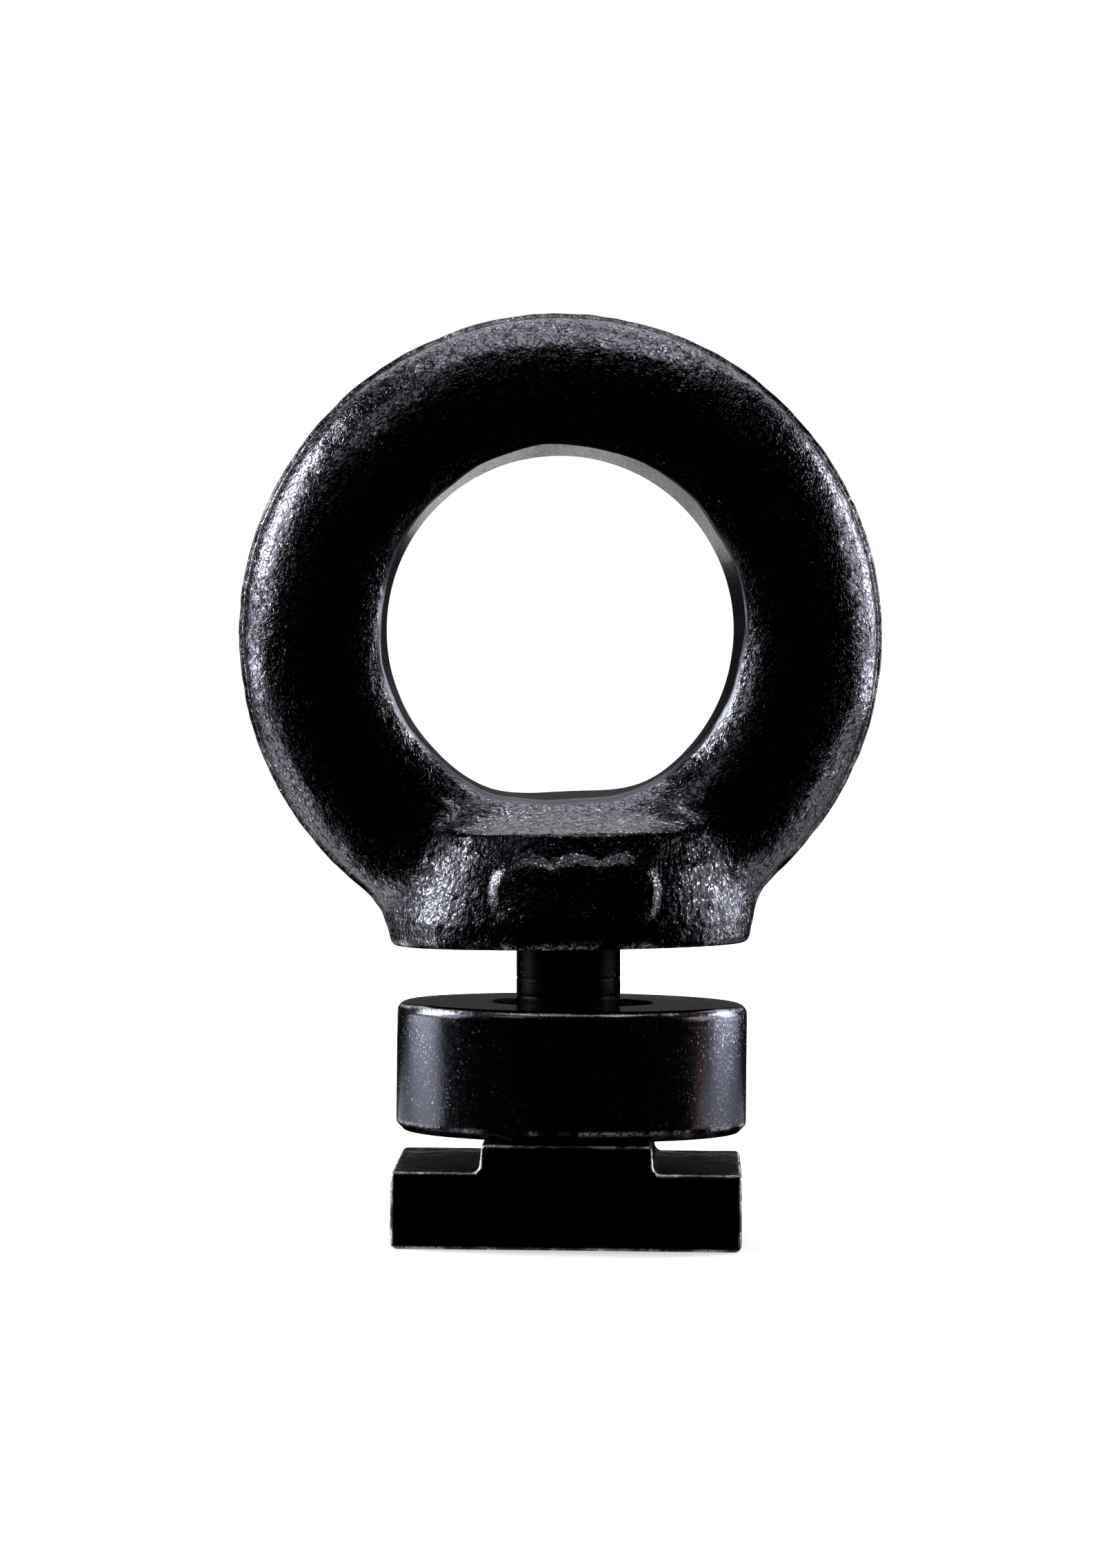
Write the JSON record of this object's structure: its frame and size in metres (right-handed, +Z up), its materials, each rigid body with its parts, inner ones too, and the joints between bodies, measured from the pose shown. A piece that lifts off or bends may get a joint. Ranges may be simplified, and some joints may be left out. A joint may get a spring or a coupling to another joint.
{
  "type": "rail lashing eye",
  "caption": "Forged ring eye on a waisted stud, with a loose round clamp disc and a T-slot nut that locks in a rail.",
  "frame": {"origin": "middle of the T-slot nut's underside, on the axis of its thread", "axes": "+Z up along the stud towards the ring, X across the rail's slot, Y along it; the eye's front faces -Y"},
  "size_m": [0.0539, 0.03, 0.0776],
  "materials": {
    "forged_black": "forged scale grain under a thin glossy black coat, worn bright on the edges",
    "stud_black": "blackened turned steel with fine tool rings",
    "turned_black": "smooth turned steel, blackened, satin, with scuffed rims",
    "milled_black": "milled steel, blackened, with cutter lines on the shoulders and bare metal along the edges"
  },
  "bodies": {
    "nut": {"t_slot_nut": "milled_black"},
    "stud": {"stud": "stud_black"},
    "eye": {"eye_nut": "forged_black"},
    "disc": {"clamp_disc": "turned_black"}
  },
  "joints": [
    {"name": "stud_travel", "type": "slide", "parent": "nut", "child": "stud", "axis": [0, 0, 1], "range_m": [-0.0035, 0.00175]},
    {"name": "eye_turn", "type": "hinge", "parent": "stud", "child": "eye", "pos_m": [0, 0, 0.0246], "axis": [0, 0, 1], "range_deg": [-720, 360]},
    {"name": "disc_lift", "type": "slide", "parent": "nut", "child": "disc", "axis": [0, 0, 1], "range_m": [0, 0.001]}
  ],
  "couplings": [
    {"joint": "stud_travel", "follows": "eye_turn", "m_per_rad": 0.00027852}
  ]
}
